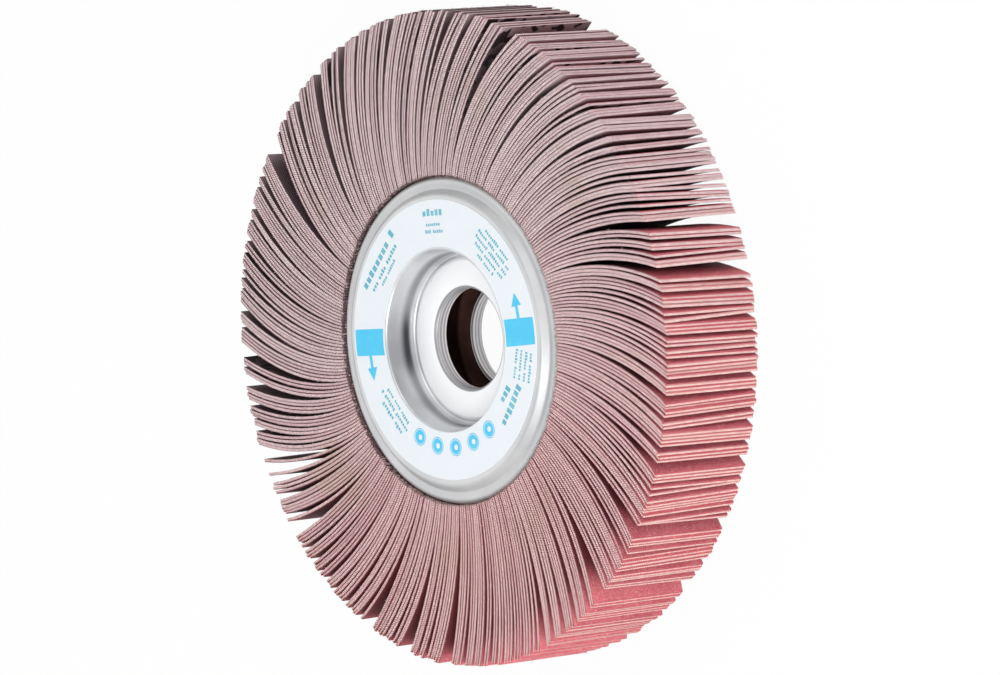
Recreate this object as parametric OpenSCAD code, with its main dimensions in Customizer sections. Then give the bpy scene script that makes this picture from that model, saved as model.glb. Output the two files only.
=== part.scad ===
// Flap wheel: abrasive cloth flaps set around a bonded core that two pressed
// steel flanges close, with a paper label on the upper flange.
// The axis is Z. The wheel lies on its lower flange, with that face at z = 0.

/* [Wheel] */
// Diameter over the flap tips
wheel_d = 165; // [140:1:200]
// Width of the flaps along the axis
flap_w = 30; // [26:1:50]
// Diameter of the bore in both flanges
bore_d = 25.4; // [20:0.1:32]

/* [Flaps] */
// Number of flaps
flap_count = 340; // [200:1:340]
// Thickness of the abrasive cloth
flap_t = 0.6; // [0.4:0.05:0.65]
// How far the tips trail behind the roots, in degrees
flap_trail = 8; // [4:0.5:12]
// How late the flaps bend: 1 bends evenly, more bends towards the tip
flap_bend = 1.3; // [1:0.05:1.6]
// Length of a flap beside the flange that stays closed with its neighbours
root_closed = 0.4; // [0.3:0.1:1.5]
// Share of the free room between two tips that the clinging of flaps takes
cling = 0.79; // [0:0.01:0.8]

/* [Flanges] */
// Thickness of the pressed sheet
sheet_t = 1; // [0.6:0.1:1]
// Outer diameter of the flanges
flange_d = 82.7; // [76:0.1:100]
// Width of the rolled rim, from its outer wall to the valley
rim_w = 3.05; // [2.5:0.05:4]
// Height of the rim's outer wall
rim_h = 2; // [1.6:0.1:3]
// Depth of the rim's crown below the plate
rim_depth = 1.2; // [0.8:0.1:1.5]
// Depth of the valley below the plate
valley_depth = 1.9; // [1.6:0.1:2.6]
// Width of the slope from the valley up to the plate
slope_w = 1.5; // [0.8:0.1:2.5]
// How far the plate stands proud of the flap edges
plate_proud = 1; // [0.4:0.1:1.4]
// Diameter of the clamping boss around the bore
boss_d = 39.8; // [36:0.1:46]
// Depth of the recess down to the clamping boss
recess_depth = 8; // [5:0.5:9.5]
// Draft of the recess wall on each side
recess_draft = 1.4; // [0.4:0.1:2]
// Width of the groove between the boss and the recess wall
groove_w = 1.6; // [1.2:0.1:2.5]
// Depth of the groove below the boss
groove_depth = 0.8; // [0.4:0.1:1.2]
// Length of the bore collar below the boss
collar_l = 3.9; // [2.5:0.1:4.5]
// Bend radius of the rolled rim and of the plate's outer edge
rim_bend_r = 1.4; // [0.6:0.1:1.8]
// Bend radius at the recess mouth, the boss and the bore
edge_bend_r = 0.7; // [0.3:0.1:1.4]
// Bend radius at the bottom of the valley and the groove
foot_bend_r = 0.6; // [0.3:0.1:1]

/* [Core] */
// Gap between the recess wall and the bonded core
core_gap = 0.4; // [0.2:0.1:1]
// Distance from the plate's edge in to the core's seat under it
seat_inset = 1.4; // [1:0.1:4]
// Clearance between the rolled rim and the flaps
rim_gap = 0.3; // [0.2:0.05:0.5]

/* [Label] */
// Bare edge of the plate around the label
label_margin = 1.4; // [0.8:0.1:3]
// Bare edge of the plate between the label and the recess
hole_margin = 0.6; // [0.6:0.1:3]
// Thickness of the paper
label_t = 0.15; // [0.1:0.05:0.3]

/* [Hidden] */
$fn = 128;

// Levels measured from the wheel's middle plane
face_z = flap_w/2 + plate_proud;
boss_z = face_z - recess_depth;
valley_z = face_z - valley_depth;
crown_z = face_z - rim_depth;
rim_foot_z = crown_z - rim_h;
// Radii of the flanges' forms
rim_r = flange_d/2;
valley_r = rim_r - rim_w;
plate_r = valley_r - slope_w;
bore_r = bore_d/2;
boss_r = boss_d/2;
groove_r = boss_r + groove_w;
recess_r = groove_r + recess_draft;
// Radii of the core and of the flaps
core_r = recess_r + sheet_t + core_gap;
seat_r = plate_r - seat_inset;
notch_r = rim_r + rim_gap;
root_r = notch_r + root_closed;
tip_r = wheel_d/2;
// Straight parts that a flap's curve is made of
flap_steps = 2;
// Points that a bend of the sheet is made of
bend_steps = 6;
// Wide gaps between flaps, seen from the front: angle of the tips there and width, in degrees
SPLITS = [
    [21.2, 1.8], [28.8, 1.5], [77.3, 3.5], [94, 2], [110, 0.8],
    [125.5, 1], [129, 1.6], [133, 1.4], [141.2, 1.4], [150.5, 4],
    [171.5, 0.8], [184.6, 0.8], [192, 1.6], [196.8, 1.5], [210.2, 2.4],
    [213, 1.6], [216.2, 0.9], [225.9, 2.7], [251.2, 2.2], [263, 2],
    [273.7, 2], [301, 1.8], [318.9, 3.2], [335, 2], [347.6, 1]
];

function total(v, n) = n <= 0 ? 0 : v[n - 1] + total(v, n - 1);
WIDTHS = [for (s = SPLITS) s[1]];
even_step = 360/flap_count;
// Share of the circle of tips that the wide gaps leave to the flaps
close_share = 1 - total(WIDTHS, len(SPLITS))/360;
// Angle of the roots at which each wide gap opens
SPLIT_ROOTS = [for (k = [0:len(SPLITS) - 1]) (SPLITS[k][0] + flap_trail - total(WIDTHS, k))/close_share];
// Angle by which the wide gaps before the root angle a push a tip onwards
function pushed(a) = total([for (k = [0:len(SPLITS) - 1]) SPLIT_ROOTS[k] < a ? WIDTHS[k] : 0], len(SPLITS));
// Angle between a flap's tip and the radius, and the free room between two tips in degrees
tip_lean = atan(flap_bend*flap_trail*PI/180*tip_r/(tip_r - root_r));
tip_room = even_step*close_share - flap_t/cos(tip_lean)/tip_r*180/PI;
// Flaps cling in groups of about five, drawn towards the middle of each group
group_turn = 360/5 + 1;
// The groups' sizes wander by this angle, over about fifty flaps
group_wander = 25;
wander_turn = 7;
function clung(i) = cling*tip_room*sin(i*group_turn + group_wander*sin(i*wander_turn));
function tip_angle(i) = i*even_step*close_share - flap_trail + pushed(i*even_step) + clung(i);
function tip_lag(i) = i*even_step - tip_angle(i);
function lag(i, u) = tip_lag(i)*pow(u, flap_bend);
function flap_r(u) = root_r + u*(tip_r - root_r);
function polar(r, a) = [r*cos(a), r*sin(a)];
function centre_at(i, u) = polar(flap_r(u), i*even_step - lag(i, u));
function unit(v) = v/norm(v);
// Left-hand normal of a direction
function left(v) = [-v[1], v[0]];
// The direction of a flap's curve, found from two points this share of the flap apart
near = 0.01;
function along(i, u) = unit(centre_at(i, u + near) - centre_at(i, max(u - near, 0)));
function side_at(i, u, half) = centre_at(i, u) + half*left(along(i, u));
function flap_side(i, half, order) = [for (k = order) side_at(i, k/flap_steps, half)];
function star_outline() = [
    for (i = [0:flap_count - 1])
        each concat(
            flap_side(i, -flap_t/2, [0:flap_steps]),
            flap_side(i, flap_t/2, [flap_steps:-1:0])
        )
];

// The visible face of the pressed sheet as [radius, height, bend radius], rim to bore
SHEET = [
    [rim_r, rim_foot_z, 0],
    [rim_r, crown_z, rim_bend_r],
    [valley_r, valley_z, foot_bend_r],
    [plate_r, face_z, rim_bend_r],
    [recess_r, face_z, edge_bend_r],
    [groove_r, boss_z - groove_depth, foot_bend_r],
    [boss_r, boss_z, edge_bend_r],
    [bore_r, boss_z, edge_bend_r],
    [bore_r, boss_z - collar_l, 0]
];
function place(p, k) = [p[k][0], p[k][1]];
// Direction and length of the straight from point k to the next
function heading(p, k) = unit(place(p, k + 1) - place(p, k));
function straight(p, k) = norm(place(p, k + 1) - place(p, k));
// Angle that the path turns by at a point, left turns positive
function turn_at(p, k) =
    let (u = heading(p, k - 1), v = heading(p, k)) atan2(u[0]*v[1] - u[1]*v[0], u*v);
// Length of straight that a bend of full radius takes on each side
function bend_reach(p, k) = k == 0 || k == len(p) - 1 ? 0 : p[k][2]*tan(abs(turn_at(p, k))/2);
// Share of that reach for which the straight after point k has room
function room(p, k) = min(1, straight(p, k)/max(bend_reach(p, k) + bend_reach(p, k + 1), near));
function bend_radius(p, k) = p[k][2]*min(room(p, k - 1), room(p, k));
// Points of one bend, moved by off to the left of the path; a bend tighter than that is sharp inside
function bend(p, k, off) =
    let (
        u = heading(p, k - 1),
        v = heading(p, k),
        turn = turn_at(p, k),
        hand = turn > 0 ? 1 : -1,
        r = bend_radius(p, k),
        middle = place(p, k) - u*r*tan(abs(turn)/2) + hand*r*left(u)
    )
    hand*off >= r
        ? [place(p, k) + (left(u) + left(v))*off/(1 + u*v)]
        : [for (s = [0:bend_steps]) middle + (off - hand*r)*turned(left(u), turn*s/bend_steps)];
function turned(v, a) = [v[0]*cos(a) - v[1]*sin(a), v[0]*sin(a) + v[1]*cos(a)];
function sheet_path(p, off) =
    let (last = len(p) - 1)
    concat(
        [place(p, 0) + off*left(heading(p, 0))],
        [for (k = [1:last - 1]) each bend(p, k, off)],
        [place(p, last) + off*left(heading(p, last - 1))]
    );
function reversed(v) = [for (k = [len(v) - 1:-1:0]) v[k]];

// A pressed flange, with its visible side up and the middle plane at z = 0
module pressed_flange() {
    rotate_extrude()
        polygon(concat(sheet_path(SHEET, 0), reversed(sheet_path(SHEET, sheet_t))));
}

module front_flange() {
    color("Gainsboro")
        translate([0, 0, face_z])
            pressed_flange();
}

module rear_flange() {
    color("Gainsboro")
        translate([0, 0, face_z])
            mirror([0, 0, 1])
                pressed_flange();
}

module front_label() {
    color("AliceBlue")
        translate([0, 0, 2*face_z])
            linear_extrude(label_t)
                difference() {
                    circle(plate_r - label_margin);
                    circle(recess_r + hole_margin);
                }
}

// Section of the space inside the flap roots that the core doesn't fill
module core_void() {
    seat_z = face_z - sheet_t;
    notch_z = min(rim_foot_z, valley_z - sheet_t) - rim_gap;
    slope_r = valley_r - sheet_t - core_gap;
    over = flap_w;
    polygon([
        [0, -over],
        [notch_r, -over],
        [notch_r, -notch_z],
        [slope_r, -notch_z],
        [seat_r, -seat_z],
        [core_r, -seat_z],
        [core_r, seat_z],
        [seat_r, seat_z],
        [slope_r, notch_z],
        [notch_r, notch_z],
        [notch_r, over],
        [0, over]
    ]);
}

// The flaps with the bonded core that holds their roots
module bonded_flap_pack() {
    color("RosyBrown")
        translate([0, 0, face_z])
            difference() {
                linear_extrude(flap_w, center = true)
                    polygon(star_outline());
                rotate_extrude()
                    core_void();
            }
}

bonded_flap_pack();
front_flange();
rear_flange();
front_label();
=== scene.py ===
"""Looks of the flap wheel: cloth flaps, pressed steel flanges, resin core and printed label.

Everything is in metres in the part's frame: the wheel lies on its rear flange, its axis is Z,
and the labelled face looks up. The camera looks down on it from the +X side.
"""

import math
import random

import bpy
import numpy as np
from mathutils import Matrix, Vector


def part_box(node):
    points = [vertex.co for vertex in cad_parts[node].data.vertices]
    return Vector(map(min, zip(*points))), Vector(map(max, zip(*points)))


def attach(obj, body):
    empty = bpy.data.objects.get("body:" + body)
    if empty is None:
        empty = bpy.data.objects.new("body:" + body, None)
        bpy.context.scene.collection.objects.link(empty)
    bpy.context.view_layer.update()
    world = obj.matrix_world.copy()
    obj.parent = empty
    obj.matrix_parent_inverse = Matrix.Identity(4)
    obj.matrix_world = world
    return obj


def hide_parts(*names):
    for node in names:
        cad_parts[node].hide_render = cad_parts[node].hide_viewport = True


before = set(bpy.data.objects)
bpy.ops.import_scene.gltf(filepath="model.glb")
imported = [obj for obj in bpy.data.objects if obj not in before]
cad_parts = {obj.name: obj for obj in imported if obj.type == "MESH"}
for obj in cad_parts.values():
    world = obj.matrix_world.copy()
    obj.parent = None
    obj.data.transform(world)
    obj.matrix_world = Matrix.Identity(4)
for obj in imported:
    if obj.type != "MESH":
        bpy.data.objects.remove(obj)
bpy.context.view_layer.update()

MM = 0.001
RANDOM_SEED = 41

# Sizes of the wheel, from the frame where it holds them
PACK_LOW, PACK_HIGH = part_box("bonded_flap_pack")
FLANGE_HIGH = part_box("front_flange")[1]
LABEL_LOW, LABEL_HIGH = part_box("front_label")
MIDDLE_Z = (PACK_LOW.z + PACK_HIGH.z) / 2
FLAP_HALF_W = (PACK_HIGH.z - PACK_LOW.z) / 2
FACE_H = FLANGE_HIGH.z - MIDDLE_Z
RIM_R = FLANGE_HIGH.x
TIP_R = 82.5 * MM

# Flaps: the cloth is pressed thin at the root and swells to its full thickness by mid length
FLAP_COUNT = 340
ROOT_T = 0.7 * MM
FLAP_T = 0.79 * MM
SWELL_END = 0.45
FLAP_TRAIL = 8.0
FLAP_BEND = 1.3
FLAP_STEPS = 12
# Pitch of the tips inside a bundle of flaps that cling together, in degrees
BUNDLE_PITCH = 0.61
BUNDLE_SIZES = (1, 1, 2, 2, 3, 3, 4, 5)
NOTCH_R = RIM_R + 0.3 * MM
ROOT_OVERLAP = 0.1 * MM
# Wide gaps between flaps: angle of the tips there and width, in degrees
SPLITS = [
    (21.2, 1.8), (29.6, 1.5), (77.3, 3.5), (94, 2), (110, 0.8),
    (125.5, 1), (129, 1.6), (133, 1.4), (141.2, 1.4), (150.5, 4),
    (171.5, 0.8), (184.6, 0.8), (192, 1.6), (196.8, 1.5), (210.2, 1.9),
    (213, 2.1), (216.2, 0.9), (225.9, 2.7), (251.2, 2.2), (263, 2),
    (273.7, 2), (301, 1.8), (318.9, 3.2), (335, 2), (347.6, 1),
]

# Pressed flanges: radius, depth below the plate face and bend radius, from rim to bore
SHEET_T = 1.0
SHEET = [
    (41.35, 3.2, 0), (41.35, 1.2, 1.4), (38.3, 1.9, 0.6), (36.8, 0, 1.4), (22.9, 0, 0.7),
    (21.5, 8.8, 0.6), (19.9, 8.0, 0.7), (12.7, 8.0, 1.2), (12.7, 11.5, 0),
]
BEND_STEPS = 10
LATHE_STEPS = 256

# Camera: measured from the photograph, in its 1000 x 675 frame
PHOTO_W = 1000
FOCAL_PX = 6321.9
CAMERA_TURN = 6.519
CAMERA_ROWS = (
    (0.6539, -0.0091, -0.7566),
    (0.0733, -0.9945, 0.0754),
    (-0.7531, -0.1047, -0.6496),
)
CAMERA_OFFSET = (-1.959 * MM, -0.24 * MM, 1600 * MM)


def srgb(r, g, b):
    """Linear colour of an sRGB colour given in 0 to 255."""
    def channel(v):
        v = v / 255
        return v / 12.92 if v <= 0.04045 else ((v + 0.055) / 1.055) ** 2.4
    return (channel(r), channel(g), channel(b), 1.0)


# Shader helpers

class Nodes:
    """A material's node tree, or the world's, with short calls for the nodes used here."""

    def __init__(self, name, world=None):
        self.material = world or bpy.data.materials.new(name)
        self.material.use_nodes = True
        self.tree = self.material.node_tree
        self.shader = self.tree.nodes["Background" if world else "Principled BSDF"]

    def add(self, kind, **values):
        node = self.tree.nodes.new(kind)
        for key, value in values.items():
            setattr(node, key, value)
        return node

    def link(self, source, target):
        self.tree.links.new(source, target)

    def put(self, value, socket):
        if isinstance(value, bpy.types.NodeSocket):
            self.link(value, socket)
        else:
            socket.default_value = value

    def math(self, operation, a, b=0.0, c=0.0, clamp=False):
        node = self.add("ShaderNodeMath", operation=operation, use_clamp=clamp)
        for value, socket in zip((a, b, c), node.inputs):
            self.put(value, socket)
        return node.outputs[0]

    def mix(self, factor, a, b):
        node = self.add("ShaderNodeMix", data_type="RGBA")
        self.put(factor, node.inputs["Factor"])
        self.put(a, node.inputs[6])
        self.put(b, node.inputs[7])
        return node.outputs[2]

    def ramp(self, value, low, high):
        """0 below low, 1 above high."""
        node = self.add("ShaderNodeMapRange", interpolation_type="SMOOTHSTEP")
        self.put(value, node.inputs["Value"])
        node.inputs["From Min"].default_value = low
        node.inputs["From Max"].default_value = high
        return node.outputs["Result"]

    def noise(self, vector, scale, detail=3.0):
        node = self.add("ShaderNodeTexNoise")
        self.link(vector, node.inputs["Vector"])
        node.inputs["Scale"].default_value = scale
        node.inputs["Detail"].default_value = detail
        return node.outputs["Fac"]

    def object_point(self):
        return self.add("ShaderNodeTexCoord").outputs["Object"]

    def uv(self, name):
        return self.add("ShaderNodeUVMap", uv_map=name).outputs["UV"]

    def split(self, vector):
        node = self.add("ShaderNodeSeparateXYZ")
        self.link(vector, node.inputs[0])
        return node.outputs

    def radius_and_height(self):
        """Distance from the wheel's axis and from its middle plane."""
        x, y, z = self.split(self.object_point())
        squares = self.math("MULTIPLY_ADD", x, x, self.math("MULTIPLY", y, y))
        return self.math("SQRT", squares), self.math("ABSOLUTE", self.math("SUBTRACT", z, MIDDLE_Z))

    def fall(self, value, low, high):
        """1 below low, 0 above high."""
        return self.math("SUBTRACT", 1.0, self.ramp(value, low, high))

    def in_sight(self):
        """1 for rays that show a thing to the camera, directly or in metal or glass, and 0 for its light."""
        path = self.add("ShaderNodeLightPath").outputs
        seen = self.math("MAXIMUM", path["Is Camera Ray"], path["Is Glossy Ray"])
        return self.math("MAXIMUM", seen, path["Is Transmission Ray"])

    def attribute(self, name):
        return self.add("ShaderNodeAttribute", attribute_name=name).outputs["Fac"]

    def bump(self, height, strength, distance):
        node = self.add("ShaderNodeBump")
        self.link(height, node.inputs["Height"])
        node.inputs["Strength"].default_value = strength
        node.inputs["Distance"].default_value = distance
        self.link(node.outputs["Normal"], self.shader.inputs["Normal"])

    def color(self, value):
        self.put(value, self.shader.inputs["Base Color"])

    def set(self, **values):
        for key, value in values.items():
            self.put(value, self.shader.inputs[key.replace("_", " ")])


# Materials

FLAP_UV = "flap_uv"
# Old glue shows as tan patches on the edges around this radius
STAIN_R = 60 * MM
THREAD_PITCH = 0.62
RIB_PITCH = 0.72


def pink_reflection_side(n):
    """1 on the lower right half, where the cloth is painted pinker and redder as a coloured reflection, 0 on the
    greyer half.
    """
    x, y, _ = n.split(n.object_point())
    return n.ramp(n.math("MULTIPLY_ADD", x, 0.6, n.math("MULTIPLY", y, -1.0)), -40 * MM, 60 * MM)


def wall_shade(n, cloth):
    """The colour of a flap's side with painted shade: clean near the tip and darker further in between the flaps,
    more so on the -X half, away from the lamps; the shade is redder on the pink half.
    """
    radius, _ = n.radius_and_height()
    x, _, _ = n.split(n.object_point())
    reach = n.math("MULTIPLY_ADD", n.fall(x, -20 * MM, 40 * MM), -8 * MM, radius)
    # Painted shade: deeper between the flaps the side turns dark, and this reaches further out on the -X half.
    shade_depth = n.fall(reach, 71 * MM, 80.5 * MM)
    dark = n.mix(pink_reflection_side(n), srgb(62, 42, 48), srgb(84, 24, 28))
    return n.mix(n.math("MULTIPLY", shade_depth, 0.9), cloth, dark)


def flap_edge_material():
    """Cut edge of a flap: two rows of pale thread ends beside the grit layer, dark at the roots, partly where resin
    soaked them and partly as a painted shadow of the notch.
    """
    n = Nodes("flap_edge")
    point = n.object_point()
    across, along, _ = n.split(n.uv(FLAP_UV))
    radius, _ = n.radius_and_height()
    row = n.math("GREATER_THAN", across, 0.5)
    phase = n.math("MULTIPLY_ADD", along, 2 * math.pi / THREAD_PITCH, n.math("MULTIPLY", row, math.pi))
    thread = n.math("MULTIPLY_ADD", n.math("SINE", phase), 0.5, 0.5)
    speck = n.noise(point, 2300)
    pale = n.ramp(n.math("MULTIPLY_ADD", thread, 0.42, n.math("MULTIPLY", speck, 0.9)), 0.44, 0.8)
    tone = n.attribute("flap_tone")
    # Painted reflection: the thread colours are pinker and redder on the lower right half.
    red = pink_reflection_side(n)
    light = n.mix(tone, srgb(254, 233, 231), srgb(238, 214, 215))
    light = n.mix(red, light, n.mix(tone, srgb(255, 221, 217), srgb(243, 198, 197)))
    ring = n.fall(n.math("ABSOLUTE", n.math("SUBTRACT", radius, STAIN_R)), 2 * MM, 14 * MM)
    stain = n.math("MULTIPLY", ring, n.ramp(n.noise(point, 46, 2.0), 0.5, 0.68))
    light = n.mix(n.math("MULTIPLY", stain, 0.38), light, srgb(208, 192, 152))
    tip = n.ramp(radius, 80.6 * MM, 82 * MM)
    light = n.mix(n.math("MULTIPLY", tip, 0.5), light, n.mix(red, srgb(238, 220, 222), srgb(252, 214, 192)))
    cloth = n.mix(pale, n.mix(red, srgb(146, 115, 119), srgb(156, 101, 105)), light)
    # At the tips the grit line takes the side's colour with its painted shade.
    grit = n.mix(tip, srgb(92, 58, 62), wall_shade(n, srgb(176, 84, 92)))
    line = n.math("MULTIPLY_ADD", n.ramp(tone, 0.1, 0.9), 0.55, 0.35)
    # The grit line is wider and stronger on the tips of the half that is painted pinker.
    pink_side_tip = n.math("MULTIPLY", tip, n.math("MULTIPLY", red, red))
    line = n.math("MULTIPLY_ADD", pink_side_tip, 0.5, line, clamp=True)
    reach = n.math("MULTIPLY_ADD", pink_side_tip, -0.2, across)
    cloth = n.mix(n.math("MULTIPLY", n.fall(reach, 0.16, 0.3), line), cloth, grit)
    cloth = n.mix(n.math("MULTIPLY", n.ramp(across, 0.9, 0.99), 0.5), cloth, srgb(80, 54, 57))
    x, _, _ = n.split(point)
    # Dark roots: partly resin soak and partly a painted shadow of the notch by the rim, which reaches further on the
    # -X half.
    dark_root_r = n.math("MULTIPLY_ADD", n.noise(point, 900), 1.0 * MM, NOTCH_R - 0.5 * MM)
    dark_root_r = n.math("MULTIPLY_ADD", n.fall(x, -35 * MM, 10 * MM), 0.2 * MM, dark_root_r)
    soak_and_shade = n.math("LESS_THAN", radius, dark_root_r)
    n.color(n.mix(n.math("MULTIPLY", soak_and_shade, 0.8), cloth, srgb(66, 42, 45)))
    n.set(Roughness=0.9, Specular_IOR_Level=0.2)
    n.bump(thread, 0.4, 0.06 * MM)
    return n.material


def flap_grit_material():
    """Abrasive side: fine red grain in resin."""
    n = Nodes("flap_grit")
    point = n.object_point()
    grain = n.noise(point, 3400, 2.0)
    cloud = n.noise(point, 90)
    base = n.mix(n.ramp(cloud, 0.3, 0.7), srgb(193, 80, 93), srgb(212, 104, 112))
    grit = n.mix(n.ramp(grain, 0.44, 0.76), base, srgb(238, 168, 170))
    # Painted shade: the grit darkens further in between the flaps.
    n.color(wall_shade(n, grit))
    n.set(Roughness=0.75, Specular_IOR_Level=0.35)
    n.bump(grain, 0.5, 0.08 * MM)
    return n.material


def flap_backing_material():
    """Back of the cloth: twill weave with blotches of black ink on some flaps."""
    n = Nodes("flap_backing")
    axial, along, _ = n.split(n.uv(FLAP_UV))
    rib = n.math("SINE", n.math("MULTIPLY", axial, 2 * math.pi / RIB_PITCH))
    twill = n.math("SINE", n.math("MULTIPLY", n.math("ADD", axial, along), 2 * math.pi / THREAD_PITCH))
    weave = n.math("MULTIPLY_ADD", rib, 0.3, n.math("MULTIPLY_ADD", twill, 0.2, 0.5))
    cloth = n.mix(weave, srgb(128, 108, 112), srgb(216, 200, 202))
    blotch = n.noise(n.uv(FLAP_UV), 0.22, 1.0)
    printed = n.math("MULTIPLY", n.ramp(blotch, 0.52, 0.56), n.ramp(n.attribute("flap_tone"), 0.76, 0.78))
    # Painted shade: the back darkens further in between the flaps.
    n.color(n.mix(printed, wall_shade(n, cloth), srgb(44, 34, 38)))
    n.set(Roughness=0.9, Specular_IOR_Level=0.2)
    n.bump(weave, 0.5, 0.08 * MM)
    return n.material


def fibre_material(name, dark, light):
    """Loose thread ends."""
    n = Nodes(name)
    n.color(n.mix(n.noise(n.object_point(), 500), dark, light))
    n.set(Roughness=0.9, Specular_IOR_Level=0.2)
    return n.material


def steel_material():
    """Plated sheet with faint smudges, dull outside, with darker streaks on the wall. Painted light and shade: the
    wall lighter and the boss near white, a dark band and a groove line at the foot of the wall, a dark line at the
    bore's mouth, and light and dark rings with a bright end in the bore.
    """
    n = Nodes("pressed_steel")
    point = n.object_point()
    radius, height = n.radius_and_height()
    smudge = n.noise(point, 70)
    base = n.mix(n.ramp(smudge, 0.3, 0.7), srgb(181, 182, 183), srgb(195, 195, 195))
    # Painted light: the sheet inside the recess is painted lighter than the rim.
    wall = n.fall(radius, 23 * MM, 24 * MM)
    base = n.mix(n.math("MULTIPLY", wall, 0.8), base, srgb(224, 225, 227))
    streak = n.math("MULTIPLY", n.ramp(n.noise(point, 80, 1.0), 0.36, 0.7), wall)
    base = n.mix(n.math("MULTIPLY", streak, 0.6), base, srgb(144, 146, 152))
    # Painted light: the boss is painted near white against the shade of the recess.
    boss = n.fall(radius, 20.2 * MM, 20.8 * MM)
    base = n.mix(boss, base, srgb(250, 250, 251))
    # Painted reflection and shadow: a dark mottled band low on the wall and a dark line at the groove, all around.
    reflection_band = n.math("MULTIPLY", n.fall(height, 10.2 * MM, 12.4 * MM), n.ramp(height, 8.4 * MM, 9.6 * MM))
    reflection_band = n.math("MULTIPLY", reflection_band, n.math("MULTIPLY_ADD", n.ramp(n.noise(point, 40, 1.0), 0.4, 0.6), 0.4, 0.6))
    groove_shadow = n.fall(height, 7.35 * MM, 7.6 * MM)
    dark = n.math("MULTIPLY", n.math("MAXIMUM", reflection_band, groove_shadow), n.ramp(radius, 20.9 * MM, 21.1 * MM))
    dark = n.math("MULTIPLY", dark, n.fall(radius, 24 * MM, 25 * MM))
    base = n.mix(dark, base, srgb(62, 63, 68))
    # Painted shade: a dark line where the sheet rounds into the bore.
    mouth = n.math("MULTIPLY", n.fall(radius, 13.3 * MM, 13.6 * MM), n.ramp(radius, 12.8 * MM, 13.0 * MM))
    base = n.mix(n.math("MULTIPLY", mouth, 0.75), base, srgb(96, 98, 98))
    bore = n.fall(radius, 12.8 * MM, 13.0 * MM)
    # Painted reflections in the bore: light and dark rings along the collar, and a painted highlight at each
    # collar's inner end.
    ring = n.math("SINE", n.math("MULTIPLY", height, 2 * math.pi / (1.1 * MM)))
    turned = n.mix(n.math("MULTIPLY_ADD", ring, 0.5, 0.5), srgb(176, 172, 178), srgb(236, 233, 235))
    turned = n.mix(n.fall(height, 4.8 * MM, 5.2 * MM), turned, srgb(255, 246, 242))
    n.color(n.mix(bore, base, turned))
    metal = n.math("MULTIPLY_ADD", boss, -0.38, n.math("MULTIPLY_ADD", bore, 0.25, 0.45))
    n.put(metal, n.shader.inputs["Metallic"])
    n.put(n.math("MULTIPLY_ADD", n.ramp(radius, 35 * MM, 38 * MM), 0.14, n.math("MULTIPLY_ADD", smudge, 0.16, 0.26)),
          n.shader.inputs["Roughness"])
    n.bump(n.noise(point, 1800, 2.0), 0.12, 0.03 * MM)
    return n.material


def stained_steel_material():
    """Inside of the flanges, brown with resin."""
    n = Nodes("stained_steel")
    n.color(n.mix(n.noise(n.object_point(), 300), srgb(44, 24, 20), srgb(92, 58, 46)))
    n.set(Roughness=0.6)
    return n.material


def resin_material():
    """Dark brown bonded core."""
    n = Nodes("bonded_resin")
    lump = n.noise(n.object_point(), 420)
    n.color(n.mix(lump, srgb(38, 22, 18), srgb(78, 50, 40)))
    n.put(n.math("MULTIPLY_ADD", lump, 0.3, 0.4), n.shader.inputs["Roughness"])
    n.bump(lump, 0.5, 0.4 * MM)
    return n.material


def paper_material():
    """Matt coated paper with a faint cool mottle."""
    n = Nodes("label_paper")
    cloud = n.noise(n.object_point(), 160)
    n.color(n.mix(cloud, srgb(233, 239, 243), srgb(240, 245, 248)))
    n.set(Roughness=0.55, Specular_IOR_Level=0.3)
    n.bump(n.noise(n.object_point(), 1500), 0.08, 0.02 * MM)
    return n.material


def ink_material(name, color, faded):
    """Printed ink, slightly uneven where the paper shows through."""
    n = Nodes(name)
    worn = n.ramp(n.noise(n.object_point(), 240), 0.45, 0.8)
    n.color(n.mix(worn, color, faded))
    n.set(Roughness=0.5, Specular_IOR_Level=0.3)
    return n.material


def floor_material():
    """White floor that keeps a soft shadow."""
    n = Nodes("floor")
    n.color((0.9, 0.9, 0.9, 1.0))
    n.set(Roughness=0.9, Specular_IOR_Level=0.0)
    seen = n.in_sight()
    glow = n.add("ShaderNodeEmission")
    mixer = n.add("ShaderNodeMixShader")
    n.link(n.math("MULTIPLY", seen, 0.96), mixer.inputs[0])
    n.link(n.shader.outputs[0], mixer.inputs[1])
    n.link(glow.outputs[0], mixer.inputs[2])
    n.link(mixer.outputs[0], n.tree.nodes["Material Output"].inputs["Surface"])
    return n.material


# Mesh helpers

def new_piece(name, verts, faces, materials, smooth_angle=None):
    """An object on the root body from vertices and faces in metres."""
    mesh = bpy.data.meshes.new(name)
    mesh.from_pydata(verts, [], faces)
    for material in materials:
        mesh.materials.append(material)
    if smooth_angle is not None:
        mesh.shade_smooth()
        mesh.set_sharp_from_angle(angle=math.radians(smooth_angle))
    piece = bpy.data.objects.new(name, mesh)
    bpy.context.scene.collection.objects.link(piece)
    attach(piece, "root")
    return piece


def lathe(profile, steps):
    """Vertices and faces of a closed (radius, height) outline turned about Z."""
    verts, faces = [], []
    count = len(profile)
    for k in range(steps):
        a = 2 * math.pi * k / steps
        for r, h in profile:
            verts.append((r * math.cos(a), r * math.sin(a), h))
    for k in range(steps):
        here, there = k * count, (k + 1) % steps * count
        for j in range(count):
            m = (j + 1) % count
            faces.append((here + j, there + j, there + m, here + m))
    return verts, faces


def polar(r, degrees):
    return Vector((r * math.cos(math.radians(degrees)), r * math.sin(math.radians(degrees))))


def left_of(v):
    return Vector((-v.y, v.x))


# Pressed flanges

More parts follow.
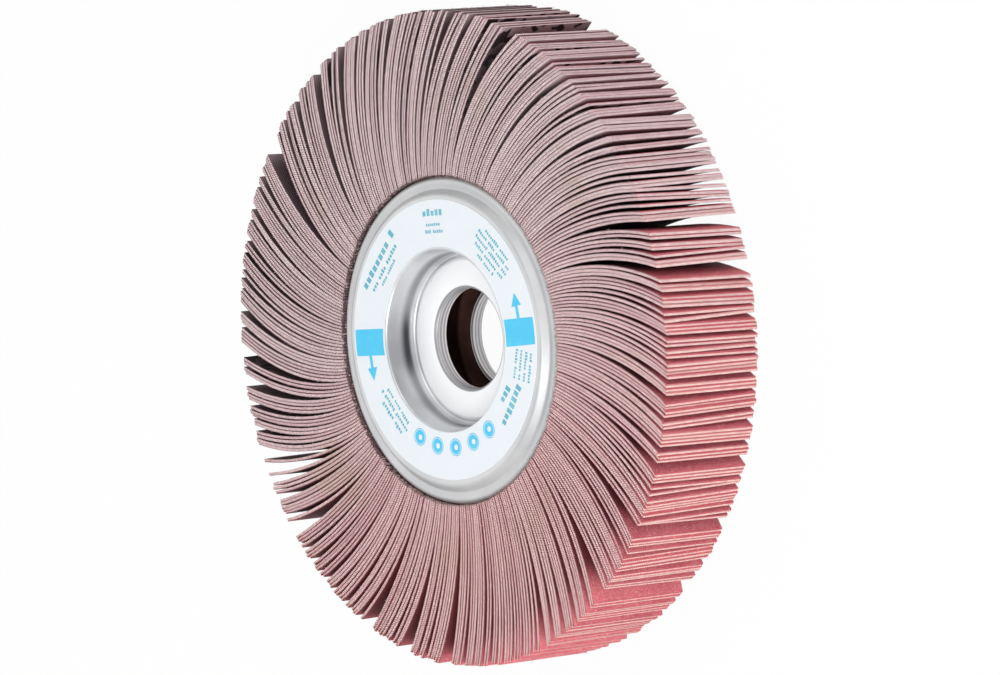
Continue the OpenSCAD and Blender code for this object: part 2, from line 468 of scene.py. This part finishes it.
def sheet_side(offset):
    """One side of the pressed sheet as (radius, height above the middle), offset into the sheet."""
    points = [Vector((r, FACE_H / MM - depth)) for r, depth, _ in SHEET]
    start_dir = (points[1] - points[0]).normalized()
    path = [points[0] + left_of(start_dir) * offset]
    for k in range(1, len(points) - 1):
        before = (points[k] - points[k - 1]).normalized()
        after = (points[k + 1] - points[k]).normalized()
        turn = math.atan2(before.x * after.y - before.y * after.x, before.dot(after))
        hand = 1 if turn > 0 else -1
        bend = SHEET[k][2]
        if hand * offset >= bend:
            path.append(points[k] + (left_of(before) + left_of(after)) * offset / (1 + before.dot(after)))
            continue
        centre = points[k] - before * bend * math.tan(abs(turn) / 2) + hand * bend * left_of(before)
        for s in range(BEND_STEPS + 1):
            normal = left_of(before)
            normal.rotate(Matrix.Rotation(turn * s / BEND_STEPS, 2))
            path.append(centre + normal * (offset - hand * bend))
    end_dir = (points[-1] - points[-2]).normalized()
    path.append(points[-1] + left_of(end_dir) * offset)
    return path


def add_flange(name, node, side, materials):
    """A pressed flange: side is 1 for the front and -1 for the rear. The second material is for its inside."""
    seen, hidden = sheet_side(0), sheet_side(SHEET_T)[::-1]
    outline = seen + hidden
    profile = [(p.x * MM, MIDDLE_Z + side * p.y * MM) for p in outline]
    verts, faces = lathe(profile, LATHE_STEPS)
    slots = [1 if len(seen) <= j < len(outline) - 1 else 0 for j in range(len(outline))] * LATHE_STEPS
    if side < 0:
        faces = [f[::-1] for f in faces]
    piece = new_piece(name, verts, faces, materials, smooth_angle=40)
    piece.data.polygons.foreach_set("material_index", slots)
    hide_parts(node)


# Bonded core

def add_core(material):
    """The resin ring between the flanges, with the flap roots in it."""
    seat = FACE_H - SHEET_T * MM
    step = FACE_H - 3.5 * MM
    inner, outer = 24.3 * MM, NOTCH_R + 0.4 * MM
    profile = [
        (inner, -seat), (35.4 * MM, -seat), (36.9 * MM, -step), (outer, -step),
        (outer, step), (36.9 * MM, step), (35.4 * MM, seat), (inner, seat),
    ]
    profile = [(r, MIDDLE_Z + h) for r, h in profile]
    verts, faces = lathe(profile, LATHE_STEPS)
    new_piece("resin_core", verts, faces, [material], smooth_angle=30)


# Flaps

def tip_angles(rng):
    """Angles of the flap tips, which cling together in bundles, and the bundle of each flap."""
    step = 360 / FLAP_COUNT
    close_share = 1 - sum(w for _, w in SPLITS) / 360
    roots, before = [], 0
    for angle, width in SPLITS:
        roots.append((angle + FLAP_TRAIL - before) / close_share)
        before += width
    angles, owners = [], []
    for i in range(FLAP_COUNT):
        owner = sum(1 for r in roots if r < i * step)
        pushed = sum(w for r, (_, w) in zip(roots, SPLITS) if r < i * step)
        angles.append(i * step * close_share - FLAP_TRAIL + pushed)
        owners.append(owner % len(SPLITS))
    bundles, i = [0] * FLAP_COUNT, 0
    while i < FLAP_COUNT:
        size = 1
        limit = rng.choice(BUNDLE_SIZES)
        while size < limit and i + size < FLAP_COUNT and owners[i + size] == owners[i]:
            size += 1
        pull = step * close_share - BUNDLE_PITCH * rng.uniform(1.0, 1.12)
        for k in range(size):
            angles[i + k] -= pull * (k - (size - 1) / 2)
            bundles[i + k] = i
        i += size
    return angles, bundles


class Flap:
    """One strip of cloth along a curve from the core, u = 0, to the tip, u = 1."""

    def __init__(self, rng, root_angle, tip_angle, bend, twist):
        self.root_angle = root_angle
        self.tip_angle = tip_angle
        self.bend = bend
        self.twist = twist
        left_share = -math.cos(math.radians(tip_angle + 20))
        self.reach = TIP_R + (rng.uniform(-0.2, 0.5) + 0.7 * left_share) * MM
        self.high = MIDDLE_Z + FLAP_HALF_W + rng.uniform(-0.22, 0.06) * MM
        self.low = MIDDLE_Z - FLAP_HALF_W + rng.uniform(-0.06, 0.22) * MM
        self.droop = rng.uniform(-0.2, 0.15) * MM
        self.tone = rng.random()
        self.start = rng.uniform(0, 10)

    def centre(self, u, turn=0.0):
        r = NOTCH_R + ROOT_OVERLAP + u * (self.reach - NOTCH_R - ROOT_OVERLAP)
        return polar(r, self.root_angle - (self.root_angle - self.tip_angle) * u ** self.bend + turn * u)

    def heading(self, u, turn=0.0):
        return (self.centre(u + 0.01, turn) - self.centre(max(u - 0.01, 0.0), turn)).normalized()

    def half_t(self, u):
        return (ROOT_T + (FLAP_T - ROOT_T) * min(u / SWELL_END, 1)) / 2

    def station(self, u):
        """Four corners at u: leading low, trailing low, leading high, trailing high. The tip is cut to a circle."""
        corners = []
        for h, turn in ((self.low, -self.twist), (self.high, self.twist)):
            c, way = self.centre(u, turn), self.heading(u, turn)
            h += self.droop * u
            for side in (1, -1):
                p = c + left_of(way) * side * self.half_t(u)
                if u == 1:
                    p += way * (self.reach - p.length) / way.dot(p.normalized())
                corners.append((p.x, p.y, h))
        return corners


def make_flaps():
    """All flaps, with the twist and the bend shared within each bundle."""
    rng = random.Random(RANDOM_SEED)
    angles, bundles = tip_angles(rng)
    twists, bends, flaps = {}, {}, []
    for i in range(FLAP_COUNT):
        b = bundles[i]
        twist = twists.setdefault(b, rng.uniform(-0.3, 0.3)) + rng.uniform(-0.03, 0.03)
        bend = bends.setdefault(b, FLAP_BEND + rng.uniform(-0.06, 0.08))
        flaps.append(Flap(rng, i * 360 / FLAP_COUNT, angles[i], bend, twist))
    # The widest gaps show a flap's back: it is printed near the top of the wheel and plain elsewhere
    for before, flap in zip(flaps, flaps[1:]):
        if flap.tip_angle - before.tip_angle > 3.5:
            flap.tone = 0.95 if flap.tip_angle < 90 else 0.4
    return flaps


def add_flaps(flaps, edge, grit, backing):
    """The flaps as one piece, with grit on the side that leads when the wheel turns."""
    verts, faces, slots, uvs, tones = [], [], [], [], []
    for flap in flaps:
        base = len(verts)
        along = [flap.start]
        for j in range(FLAP_STEPS + 1):
            verts += flap.station(j / FLAP_STEPS)
            if j > 0:
                run = flap.centre(j / FLAP_STEPS) - flap.centre((j - 1) / FLAP_STEPS)
                along.append(along[-1] + run.length / MM)
        tones += [flap.tone] * (4 * (FLAP_STEPS + 1))
        z0, z1 = flap.low / MM, flap.high / MM
        for j in range(FLAP_STEPS):
            p, q = base + 4 * j, base + 4 * j + 4
            s0, s1 = along[j], along[j + 1]
            faces.append((p, p + 2, q + 2, q))
            uvs += [(z0, s0), (z1, s0), (z1, s1), (z0, s1)]
            faces.append((p + 1, q + 1, q + 3, p + 3))
            uvs += [(z0, s0), (z0, s1), (z1, s1), (z1, s0)]
            faces.append((p + 2, p + 3, q + 3, q + 2))
            uvs += [(0, s0), (1, s0), (1, s1), (0, s1)]
            faces.append((p, q, q + 1, p + 1))
            uvs += [(0, s0), (0, s1), (1, s1), (1, s0)]
            slots += [1, 2, 0, 0]
        q = base + 4 * FLAP_STEPS
        faces.append((q, q + 2, q + 3, q + 1))
        uvs += [(0, z0), (0, z1), (1, z1), (1, z0)]
        faces.append((base + 1, base + 3, base + 2, base))
        uvs += [(1, z0), (1, z1), (0, z1), (0, z0)]
        slots += [0, 0]
    piece = new_piece("cloth_flaps", verts, faces, [edge, grit, backing], smooth_angle=30)
    mesh = piece.data
    mesh.polygons.foreach_set("material_index", slots)
    layer = mesh.uv_layers.new(name=FLAP_UV)
    layer.data.foreach_set("uv", np.array(uvs, np.float32).ravel())
    tone = mesh.attributes.new("flap_tone", "FLOAT", "POINT")
    tone.data.foreach_set("value", tones)
    mesh.update()
    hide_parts("bonded_flap_pack")


# Loose threads

FIBRE_SIDES = 3
FIBRE_JOINTS = 4


def fibre(rng, start, heading, length, thickness, curl):
    """Vertices and faces of one curled thread end."""
    verts, faces = [], []
    point, way = Vector(start), Vector(heading).normalized()
    axis = Vector((rng.uniform(-1, 1), rng.uniform(-1, 1), rng.uniform(-1, 1))).normalized()
    for j in range(FIBRE_JOINTS):
        across = way.orthogonal().normalized()
        for k in range(FIBRE_SIDES):
            turn = Matrix.Rotation(2 * math.pi * k / FIBRE_SIDES, 3, way)
            verts.append(point + turn @ across * thickness / 2 * (1 - 0.2 * j))
        if j > 0:
            for k in range(FIBRE_SIDES):
                m = (k + 1) % FIBRE_SIDES
                a, b = (j - 1) * FIBRE_SIDES, j * FIBRE_SIDES
                faces.append((a + k, a + m, b + m, b + k))
        point = point + way * length / (FIBRE_JOINTS - 1)
        way = Matrix.Rotation(curl, 3, axis) @ way
    return verts, faces


def add_fibres(name, material, rng, ends):
    """A piece of many thread ends, each given as start, heading, length, thickness and curl."""
    verts, faces = [], []
    for start, heading, length, thickness, curl in ends:
        v, f = fibre(rng, start, heading, length, thickness, curl)
        base = len(verts)
        verts += v
        faces += [tuple(k + base for k in face) for face in f]
    new_piece(name, verts, faces, [material], smooth_angle=180)


def edge_threads(rng, flaps):
    """Thread ends that stand out of the cut edges and the tips."""
    for flap in flaps:
        for _ in range(14):
            u = rng.uniform(0.03, 1.0)
            side = rng.choice((-1, 1))
            c = flap.centre(u, flap.twist) + left_of(flap.heading(u)) * side * flap.half_t(u)
            lean = left_of(flap.heading(u)) * side * rng.uniform(0.1, 0.7)
            start = (c.x, c.y, flap.high + flap.droop * u - 0.1 * MM)
            yield (start, (lean.x, lean.y, rng.uniform(0.3, 1.0)), rng.uniform(0.2, 0.45) * MM,
                   rng.uniform(0.12, 0.2) * MM, rng.uniform(-0.9, 0.9))
        for _ in range(4):
            h = rng.uniform(flap.low, flap.high)
            c = flap.centre(1, flap.twist * (2 * (h - MIDDLE_Z) / (flap.high - flap.low)))
            out = flap.heading(1) + left_of(flap.heading(1)) * rng.uniform(-0.9, 0.9)
            yield ((c.x, c.y, h), (out.x, out.y, rng.uniform(-0.5, 0.5)), rng.uniform(0.3, 0.7) * MM,
                   rng.uniform(0.1, 0.16) * MM, rng.uniform(-0.9, 0.9))


def root_fringe(rng, flaps):
    """Dark frayed threads that lie over the rolled rim."""
    for flap in flaps:
        for _ in range(5):
            u = rng.uniform(0.0, 0.02)
            c = flap.centre(u) + left_of(flap.heading(u)) * rng.uniform(-0.4, 0.4) * MM
            inward = -c.normalized() + left_of(c.normalized()) * rng.uniform(-0.8, 0.8)
            yield ((c.x, c.y, flap.high - 0.1 * MM), (inward.x, inward.y, rng.uniform(0.0, 0.6)),
                   rng.uniform(0.5, 1.3) * MM, rng.uniform(0.1, 0.18) * MM, rng.uniform(-0.8, 0.8))


# Label

LABEL_R = (LABEL_HIGH.x - LABEL_LOW.x) / 2 / MM
LABEL_HOLE_R = 23.45
LABEL_SHIFT = Vector((0.1, 0.35))
PRINT_LIFT = 0.02 * MM


def add_label(material):
    """The paper ring, stuck on slightly off centre."""
    low, high = LABEL_LOW.z, LABEL_HIGH.z
    profile = [(LABEL_HOLE_R * MM, low), (LABEL_R * MM, low), (LABEL_R * MM, high), (LABEL_HOLE_R * MM, high)]
    verts, faces = lathe(profile, LATHE_STEPS)
    verts = [(x + LABEL_SHIFT.x * MM, y + LABEL_SHIFT.y * MM, z) for x, y, z in verts]
    piece = new_piece("paper_label", verts, faces, [material], smooth_angle=30)
    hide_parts("front_label")


class Print:
    """Flat shapes printed on the label, in millimetres about the label's centre."""

    def __init__(self):
        self.verts = []
        self.faces = []

    def shape(self, points):
        start = len(self.verts)
        self.verts += points
        self.faces.append(tuple(range(start, start + len(points))))

    def bar(self, r, angle, length, height, shift=0.0):
        """A bar across the radius at angle, shifted along its own length."""
        out = polar(1, angle)
        run = left_of(out)
        c = out * r - run * shift
        self.shape([c - run * length / 2 - out * height / 2, c + run * length / 2 - out * height / 2,
                    c + run * length / 2 + out * height / 2, c - run * length / 2 + out * height / 2][::-1])

    def ring(self, centre, outer, inner=0.0, steps=40):
        around = [polar(1, 360 * k / steps) for k in range(steps)]
        if inner <= 0:
            self.shape([centre + p * outer for p in around])
            return
        for k in range(steps):
            p, q = around[k], around[(k + 1) % steps]
            self.shape([centre + p * inner, centre + p * outer, centre + q * outer, centre + q * inner])

    def sector(self, inner, outer, angle, width, steps=8):
        """A radial band of constant width that follows the label's round edges."""
        out = polar(1, angle)
        run = left_of(out)
        def edge(r, t):
            return out * math.sqrt(r * r - t * t) + run * t
        ts = [width * (k / steps - 0.5) for k in range(steps + 1)]
        self.shape([edge(inner, t) for t in ts][::-1] + [edge(outer, t) for t in ts])

    def arrow(self, r, angle, length, head, width):
        """An arrow that starts at angle and points the way the wheel turns."""
        out = polar(1, angle)
        run = left_of(out)
        foot = out * r
        neck = foot + run * (length - head)
        tip = foot + run * length
        thin = width * 0.14
        self.shape([foot + out * thin, neck + out * thin, neck - out * thin, foot - out * thin][::-1])
        self.shape([neck + out * width / 2, tip, neck - out * width / 2][::-1])

    def piece(self, name, material, lift):
        z = LABEL_HIGH.z + lift
        verts = [((p.x + LABEL_SHIFT.x) * MM, (p.y + LABEL_SHIFT.y) * MM, z) for p in self.verts]
        piece = new_piece(name, verts, self.faces, [material])
        mesh = piece.data
        normals_down = [f for f in mesh.polygons if f.normal.z < 0]
        for f in normals_down:
            f.flip()


def text_line(ink, rng, r, angle, length, height):
    """A line of small plain blocks in word groups, where the real label has small print."""
    wide, gap = 0.62 * height, 0.26 * height
    x = -length / 2
    while x < length / 2 - wide:
        for _ in range(rng.randint(3, 8)):
            if x > length / 2 - wide:
                break
            tall = height * rng.choice((0.7, 0.7, 0.85, 1.0))
            ink.bar(r - (height - tall) / 2, angle, wide, tall, x + wide / 2)
            x += wide + gap
        x += 0.75 * height


def add_print(blue, teal, white):
    rng = random.Random(RANDOM_SEED + 1)
    bold, fine, clear = Print(), Print(), Print()
    for angle in (192.1, 14.6):
        bold.sector(LABEL_HOLE_R + 0.5, LABEL_R - 0.5, angle, 6.8)
        bold.arrow(29.6, angle + 6.6, 6.5, 3.4, 3.8)
    for k in range(5):
        centre = polar(27.2, 255.6 + 14.9 * k)
        bold.ring(centre, 1.8)
        bold.ring(centre, 2.25, 2.0)
        clear.ring(centre + left_of(centre.normalized()) * 0.2, 0.7)
    # Small print: radius, angle, length, height
    for r, angle, length, height in (
        (31.6, 150, 19, 2.2), (28.5, 150, 16, 1.2), (26.6, 150, 9, 0.9),
        (32.2, 103, 8.5, 1.8), (29.2, 103, 6.5, 0.9), (27.4, 103, 7.5, 0.9),
        (32.6, 57, 11, 0.9), (30.9, 57, 15, 0.9), (29.2, 57, 15, 0.9), (27.5, 57, 13, 0.9), (25.8, 57, 8, 0.9),
        (33.2, -2, 8, 0.9), (31.4, -2, 8, 0.9), (29.6, -2, 8, 0.9), (27.8, -2, 8, 0.9),
        (29.6, -23, 12, 2.0), (26.4, -23, 7, 1.9),
        (29.8, 231, 12, 1.1), (27.8, 231, 14, 1.0), (25.9, 231, 12, 0.9),
    ):
        text_line(fine, rng, r, angle, length, height)
    bold.piece("label_print_blue", blue, PRINT_LIFT)
    fine.piece("label_print_teal", teal, PRINT_LIFT)
    clear.piece("label_print_white", white, 2 * PRINT_LIFT)


# Stage

def add_camera():
    rows = Matrix(CAMERA_ROWS) @ Matrix.Rotation(-math.radians(CAMERA_TURN), 3, "Z")
    place = -(rows.transposed() @ Vector(CAMERA_OFFSET))
    place.z += MIDDLE_Z
    right, down, ahead = rows[0], rows[1], rows[2]
    turned = Matrix((right, -down, -ahead)).transposed().to_4x4()
    data = bpy.data.cameras.new("camera")
    data.sensor_width = 36
    data.lens = FOCAL_PX * 36 / PHOTO_W
    data.clip_end = 20
    camera = bpy.data.objects.new("camera", data)
    camera.matrix_world = Matrix.Translation(place) @ turned
    bpy.context.scene.collection.objects.link(camera)
    bpy.context.scene.camera = camera


def add_area(name, place, size, power):
    """A square soft light that looks at the wheel."""
    data = bpy.data.lights.new(name, "AREA")
    data.size = size
    data.energy = power
    lamp = bpy.data.objects.new(name, data)
    lamp.location = place
    lamp.rotation_euler = (Vector((0, 0, 0.015)) - Vector(place)).to_track_quat("-Z", "Y").to_euler()
    bpy.context.scene.collection.objects.link(lamp)


# Strength of the world as a light; in sight it is plain white
SKY_LIGHT = 0.42
# The floor lies this far under the wheel, so that the two surfaces don't coincide
FLOOR_GAP = 0.05 * MM


def add_stage():
    corners = [(x, y, -FLOOR_GAP) for x, y in ((-3, -3), (3, -3), (3, 3), (-3, 3))]
    mesh = bpy.data.meshes.new("floor")
    mesh.from_pydata(corners, [], [(0, 1, 2, 3)])
    mesh.materials.append(floor_material())
    floor = bpy.data.objects.new("floor", mesh)
    bpy.context.scene.collection.objects.link(floor)
    world = bpy.data.worlds.new("studio")
    bpy.context.scene.world = world
    n = Nodes("studio", world)
    seen = n.in_sight()
    n.put(n.mix(seen, (0.96, 0.97, 1.0, 1.0), (1.0, 1.0, 1.0, 1.0)), n.shader.inputs["Color"])
    n.put(n.math("MULTIPLY_ADD", seen, 1 - SKY_LIGHT, SKY_LIGHT), n.shader.inputs["Strength"])
    add_area("key_light", (0.85, -0.25, 1.0), 0.5, 5.8)
    add_area("side_light", (1.1, -0.6, 0.35), 0.7, 8.4)
    add_area("fill_light", (0.55, 1.1, 0.6), 1.0, 5.2)
    add_area("back_light", (-0.75, 0.0, 0.9), 1.0, 2.8)


# Build

steel = [steel_material(), stained_steel_material()]
add_flange("front_pressed_flange", "front_flange", 1, steel)
add_flange("rear_pressed_flange", "rear_flange", -1, steel)
add_core(resin_material())
flaps = make_flaps()
add_flaps(flaps, flap_edge_material(), flap_grit_material(), flap_backing_material())
rng = random.Random(RANDOM_SEED + 2)
pale_thread = fibre_material("pale_thread", srgb(196, 164, 163), srgb(232, 206, 202))
dark_thread = fibre_material("dark_thread", srgb(84, 62, 61), srgb(222, 192, 189))
add_fibres("edge_threads", pale_thread, rng, edge_threads(rng, flaps))
add_fibres("root_fringe", dark_thread, rng, root_fringe(rng, flaps))
paper = paper_material()
add_label(paper)
add_print(
    ink_material("ink_blue", srgb(82, 202, 242), srgb(98, 212, 245)),
    ink_material("ink_teal", srgb(104, 182, 200), srgb(140, 204, 216)),
    paper,
)
add_camera()
add_stage()
bpy.context.scene.view_settings.view_transform = "Standard"
